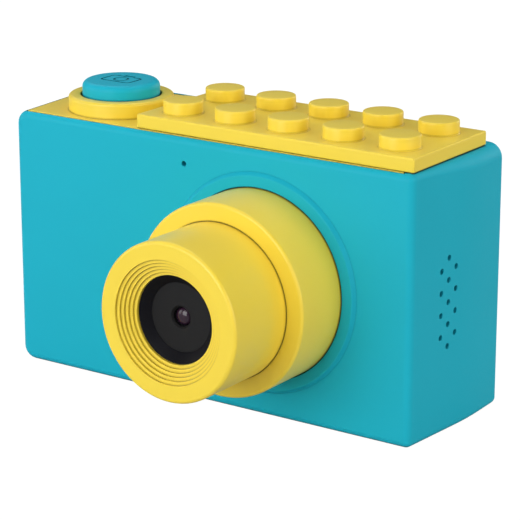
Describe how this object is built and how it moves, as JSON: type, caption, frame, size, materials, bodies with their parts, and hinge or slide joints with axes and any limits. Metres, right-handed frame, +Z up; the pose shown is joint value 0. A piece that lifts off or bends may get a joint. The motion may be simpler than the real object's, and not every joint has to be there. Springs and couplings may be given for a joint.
{
  "type": "kids digital camera",
  "caption": "Toy camera with a two-part case, a building-brick style top plate, a fixed stepped lens barrel, a round shutter button and a rear screen with keys.",
  "frame": {"origin": "middle of the flat underside of the case, at half its width and half its depth without the lens barrel", "axes": "+Z up; the lens looks along -Y; +X is to the viewer's right when the lens faces the viewer"},
  "size_m": [0.0827, 0.0534, 0.0503],
  "materials": {
    "teal_plastic": "satin moulded ABS",
    "yellow_plastic": "satin moulded ABS",
    "black_plastic": "fine matt",
    "dark_plastic": "fine matt",
    "coated_glass": "anti-reflection coated",
    "chip": "moulded",
    "circuit_board": "solder mask",
    "flex_film": "polyimide film",
    "battery_foil": "foil pouch",
    "spring_steel": "plain",
    "steel": "plain",
    "display": "switched off",
    "window_plastic": "polished",
    "card_plastic": "satin",
    "teal_rubber": "soft",
    "light_guide": "translucent"
  },
  "bodies": {
    "case": {"front_shell": "teal_plastic", "rear_shell": "teal_plastic", "top_cover": "yellow_plastic", "brick_plate": "yellow_plastic", "shutter_collar": "yellow_plastic", "lens_outer_barrel": "yellow_plastic", "lens_inner_barrel": "yellow_plastic", "lens_shroud": "black_plastic", "lens_disc": "dark_plastic", "lens_holder": "black_plastic", "front_lens": "coated_glass", "inner_lens": "coated_glass", "ir_filter": "coated_glass", "image_sensor": "chip", "processor": "chip", "speaker": "chip", "shutter_switch": "chip", "rear_switches": "chip", "sensor_board": "circuit_board", "main_board": "circuit_board", "shutter_board": "circuit_board", "sensor_flex": "flex_film", "lcd_flex": "flex_film", "battery": "battery_foil", "shutter_spring": "spring_steel", "microphone": "steel", "lcd_frame": "steel", "lcd_panel": "display", "screen_window": "window_plastic", "usb_socket": "steel", "card_socket": "steel", "status_light": "light_guide", "case_screws": "steel", "barrel_screws": "steel", "board_screws": "steel"},
    "shutter_button": {"shutter_button": "teal_plastic"},
    "up_button": {"up_button": "yellow_plastic"},
    "down_button": {"down_button": "yellow_plastic"},
    "left_button": {"left_button": "yellow_plastic"},
    "right_button": {"right_button": "yellow_plastic"},
    "ok_button": {"ok_button": "yellow_plastic"},
    "power_button": {"power_button": "yellow_plastic"},
    "menu_button": {"menu_button": "yellow_plastic"},
    "usb_cover": {"usb_cover": "teal_rubber"},
    "memory_card": {"memory_card": "card_plastic"}
  },
  "joints": [
    {"name": "shutter_press", "type": "slide", "parent": "case", "child": "shutter_button", "axis": [0, 0, -1], "range_m": [0, 0.001], "stiffness_N_per_m": 600, "springref_m": -0.002, "deforming": ["shutter_spring"]},
    {"name": "up_press", "type": "slide", "parent": "case", "child": "up_button", "axis": [0, -1, 0], "range_m": [0, 0.0005], "stiffness_N_per_m": 1500, "springref_m": -0.0005},
    {"name": "down_press", "type": "slide", "parent": "case", "child": "down_button", "axis": [0, -1, 0], "range_m": [0, 0.0005], "stiffness_N_per_m": 1500, "springref_m": -0.0005},
    {"name": "left_press", "type": "slide", "parent": "case", "child": "left_button", "axis": [0, -1, 0], "range_m": [0, 0.0005], "stiffness_N_per_m": 1500, "springref_m": -0.0005},
    {"name": "right_press", "type": "slide", "parent": "case", "child": "right_button", "axis": [0, -1, 0], "range_m": [0, 0.0005], "stiffness_N_per_m": 1500, "springref_m": -0.0005},
    {"name": "ok_press", "type": "slide", "parent": "case", "child": "ok_button", "axis": [0, -1, 0], "range_m": [0, 0.0005], "stiffness_N_per_m": 1500, "springref_m": -0.0005},
    {"name": "power_press", "type": "slide", "parent": "case", "child": "power_button", "axis": [0, -1, 0], "range_m": [0, 0.0005], "stiffness_N_per_m": 1500, "springref_m": -0.0005},
    {"name": "menu_press", "type": "slide", "parent": "case", "child": "menu_button", "axis": [0, -1, 0], "range_m": [0, 0.0005], "stiffness_N_per_m": 1500, "springref_m": -0.0005},
    {"name": "usb_cover_turn", "type": "hinge", "parent": "case", "child": "usb_cover", "pos_m": [-0.0406, 0.0077, 0.0315], "axis": [0, 0, 1], "range_deg": [0, 100]},
    {"name": "memory_card_slide", "type": "slide", "parent": "case", "child": "memory_card", "axis": [-1, 0, 0], "range_m": [0, 0.012]}
  ]
}
